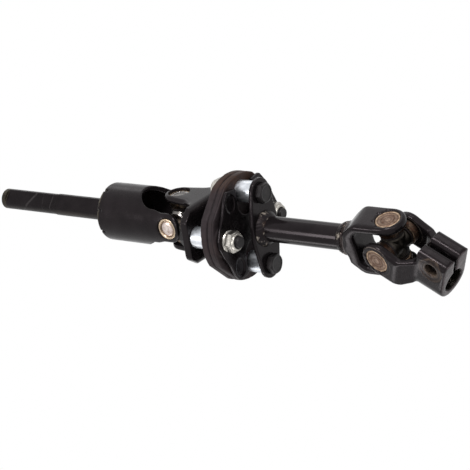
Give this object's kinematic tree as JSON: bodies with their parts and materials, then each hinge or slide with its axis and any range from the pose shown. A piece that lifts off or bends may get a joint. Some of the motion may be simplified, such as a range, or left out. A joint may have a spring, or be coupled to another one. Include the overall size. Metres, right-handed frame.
{
  "type": "intermediate steering shaft",
  "caption": "Intermediate steering shaft with a double-D bar, universal joints, a rubber coupling and a slit clamp yoke.",
  "frame": {"origin": "centre of the end face of the double-D bar, the end that goes to the steering column", "axes": "+Z runs out of that end along the bar, so the shaft hangs down from the origin; +X is the side that is up in the picture, with the flanged yoke's upper arm, and -Y is the side that faces the camera, with the tubular yoke's bearing cup"},
  "size_m": [0.089, 0.089, 0.4705],
  "materials": {
    "black_paint": "satin",
    "dark_steel": "bare forged",
    "rubber": "matte",
    "seal_rubber": "matte",
    "black_bolt": "phosphated",
    "zinc_plate": "zinc plated",
    "cup_steel": "ground",
    "bronze_cup": "dull",
    "roller_steel": "ground"
  },
  "bodies": {
    "input": {"column_shaft": "black_paint", "yoke_hub": "dark_steel", "tubular_yoke": "black_paint", "upper_cup_front": "cup_steel", "upper_cup_back": "cup_steel", "upper_rollers_front": "roller_steel", "upper_rollers_back": "roller_steel"},
    "upper_cross": {"upper_cross": "dark_steel", "upper_seal_front": "seal_rubber", "upper_seal_back": "seal_rubber", "upper_seal_right": "seal_rubber", "upper_seal_left": "seal_rubber"},
    "intermediate": {"flange_yoke": "black_paint", "upper_cup_right": "cup_steel", "upper_cup_left": "cup_steel", "upper_rollers_right": "roller_steel", "upper_rollers_left": "roller_steel", "coupling_disc": "rubber", "stop_plate": "black_paint", "yoke_bolt_front": "black_bolt", "yoke_bolt_back": "black_bolt", "yoke_sleeve_front": "zinc_plate", "yoke_sleeve_back": "zinc_plate", "yoke_nut_front": "zinc_plate", "yoke_nut_back": "zinc_plate", "flange_bolt_right": "black_bolt", "flange_bolt_left": "black_bolt", "flange_sleeve_right": "zinc_plate", "flange_sleeve_left": "zinc_plate", "flange_nut_right": "zinc_plate", "flange_nut_left": "zinc_plate", "output_flange": "black_paint", "flange_weld": "black_paint", "intermediate_tube": "black_paint", "yoke_weld": "black_paint", "tube_yoke": "black_paint", "lower_cup_right": "bronze_cup", "lower_cup_left": "bronze_cup", "lower_rollers_right": "roller_steel", "lower_rollers_left": "roller_steel"},
    "lower_cross": {"lower_cross": "dark_steel", "lower_seal_front": "seal_rubber", "lower_seal_back": "seal_rubber", "lower_seal_right": "seal_rubber", "lower_seal_left": "seal_rubber"},
    "output": {"clamp_yoke": "black_paint", "lower_cup_front": "bronze_cup", "lower_cup_back": "bronze_cup", "lower_rollers_front": "roller_steel", "lower_rollers_back": "roller_steel"}
  },
  "joints": [
    {"name": "upper_joint_input_pins", "type": "hinge", "parent": "input", "child": "upper_cross", "pos_m": [0, 0, -0.206], "axis": [0, 1, 0], "range_deg": [-25, 25]},
    {"name": "upper_joint_output_pins", "type": "hinge", "parent": "upper_cross", "child": "intermediate", "pos_m": [0, 0, -0.206], "axis": [1, 0, 0], "range_deg": [-25, 25]},
    {"name": "lower_joint_input_pins", "type": "hinge", "parent": "intermediate", "child": "lower_cross", "pos_m": [0, 0, -0.4094], "axis": [0.9613, -0.2756, 0], "range_deg": [-14.7, 37.3]},
    {"name": "lower_joint_output_pins", "type": "hinge", "parent": "lower_cross", "child": "output", "pos_m": [0, 0, -0.4094], "axis": [0.2703, 0.9426, -0.1959], "range_deg": [-48.7, 3.3]}
  ]
}
